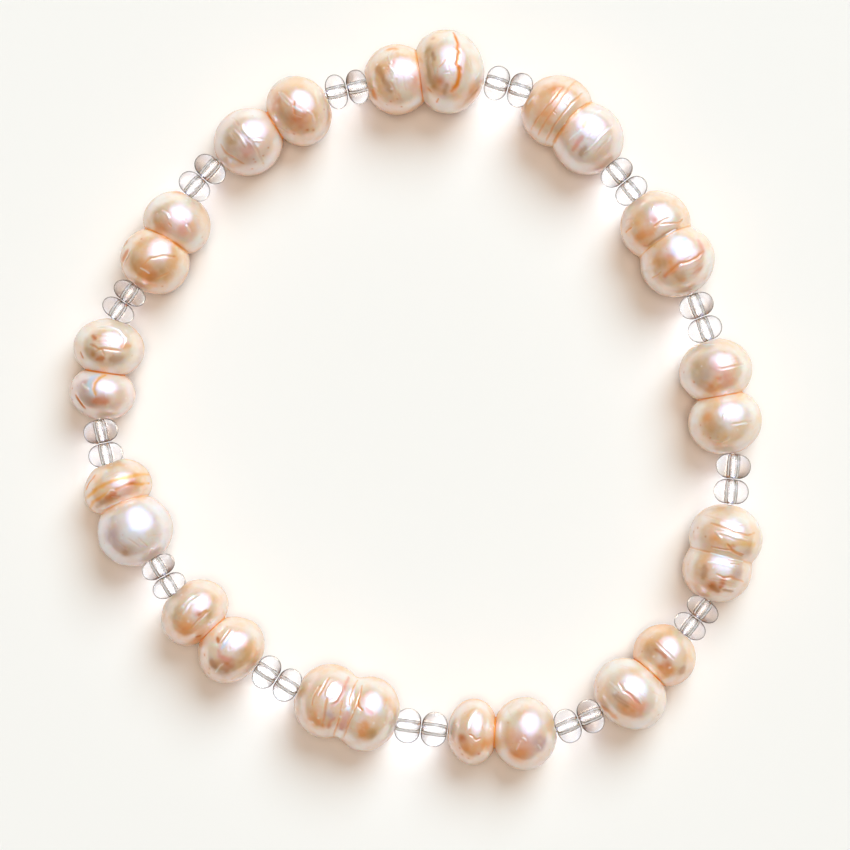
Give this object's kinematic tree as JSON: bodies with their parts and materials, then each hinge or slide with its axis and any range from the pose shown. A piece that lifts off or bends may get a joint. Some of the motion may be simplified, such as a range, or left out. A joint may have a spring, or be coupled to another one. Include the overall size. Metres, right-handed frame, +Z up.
{
  "type": "pearl anklet",
  "caption": "Stretch anklet of twin-lobed freshwater pearls and pairs of clear glass beads threaded in turn on one closed loop of clear elastic, lying flat.",
  "frame": {"origin": "on the surface that the anklet lies on, below the middle of its outline", "axes": "+Z up out of that surface and along the ankle, +Y along the longer way across the loop, +X along the shorter"},
  "size_m": [0.0832, 0.0888, 0.0101],
  "materials": {
    "pearl": "lustrous peach nacre, with fine growth lines, orange grooves at the waists and soft satin gloss",
    "glass_bead": "clear colourless fire-polished glass",
    "elastic_thread": "clear polyurethane elastic, slightly milky"
  },
  "bodies": {
    "root": {"pearl_01": "pearl", "pearl_02": "pearl", "pearl_03": "pearl", "pearl_04": "pearl", "pearl_05": "pearl", "pearl_06": "pearl", "pearl_07": "pearl", "pearl_08": "pearl", "pearl_09": "pearl", "pearl_10": "pearl", "pearl_11": "pearl", "pearl_12": "pearl", "pearl_13": "pearl", "glass_bead_01a": "glass_bead", "glass_bead_01b": "glass_bead", "glass_bead_02a": "glass_bead", "glass_bead_02b": "glass_bead", "glass_bead_03a": "glass_bead", "glass_bead_03b": "glass_bead", "glass_bead_04a": "glass_bead", "glass_bead_04b": "glass_bead", "glass_bead_05a": "glass_bead", "glass_bead_05b": "glass_bead", "glass_bead_06a": "glass_bead", "glass_bead_06b": "glass_bead", "glass_bead_07a": "glass_bead", "glass_bead_07b": "glass_bead", "glass_bead_08a": "glass_bead", "glass_bead_08b": "glass_bead", "glass_bead_09a": "glass_bead", "glass_bead_09b": "glass_bead", "glass_bead_10a": "glass_bead", "glass_bead_10b": "glass_bead", "glass_bead_11a": "glass_bead", "glass_bead_11b": "glass_bead", "glass_bead_12a": "glass_bead", "glass_bead_12b": "glass_bead", "glass_bead_13a": "glass_bead", "glass_bead_13b": "glass_bead", "elastic_thread": "elastic_thread"}
  },
  "joints": []
}
